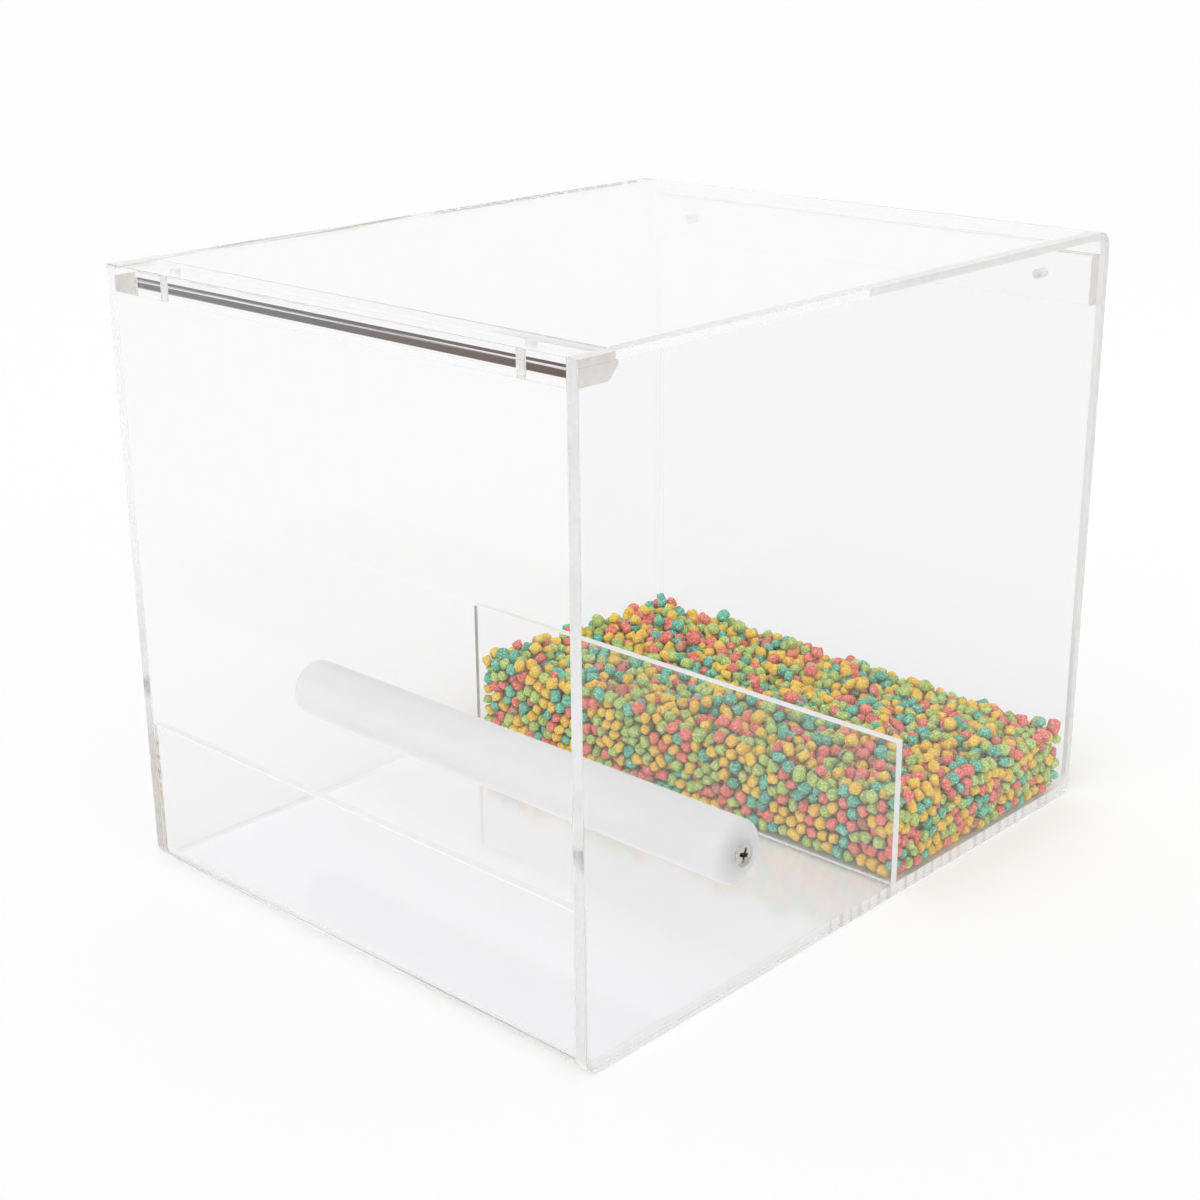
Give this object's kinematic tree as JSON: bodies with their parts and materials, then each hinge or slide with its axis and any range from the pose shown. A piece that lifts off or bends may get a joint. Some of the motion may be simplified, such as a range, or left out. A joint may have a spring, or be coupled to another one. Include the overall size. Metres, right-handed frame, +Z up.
{
  "type": "bird feeder box",
  "caption": "Open-fronted clear feeder box for birds: bent sheet body, flat end plates, low front lip, feed divider, frosted perch on end screws and drilled fastening strips.",
  "frame": {"origin": "middle of the footprint, on the surface that the box stands on", "axes": "+Z up, +Y from the open front to the back, +X to the right seen from the front"},
  "size_m": [0.198, 0.25, 0.2],
  "materials": {
    "clear_sheet": "clear, polished faces",
    "clear_strip": "clear with saw-cut frosted ends",
    "frosted_rod": "frosted, translucent white",
    "screw_steel": "stainless, satin",
    "feed": "dry, rough pressed grain in mixed colours"
  },
  "bodies": {
    "housing": {"wrap_sheet": "clear_sheet", "side_panel_left": "clear_sheet", "side_panel_right": "clear_sheet", "feed_divider": "clear_sheet", "front_strip": "clear_strip", "back_strip": "clear_strip", "feed_pellets": "feed"},
    "perch": {"perch_rod": "frosted_rod", "perch_screw_left": "screw_steel", "perch_screw_right": "screw_steel"}
  },
  "joints": [
    {"name": "perch_turn", "type": "hinge", "parent": "housing", "child": "perch", "pos_m": [0, -0.058, 0.043], "axis": [1, 0, 0], "continuous": true}
  ]
}
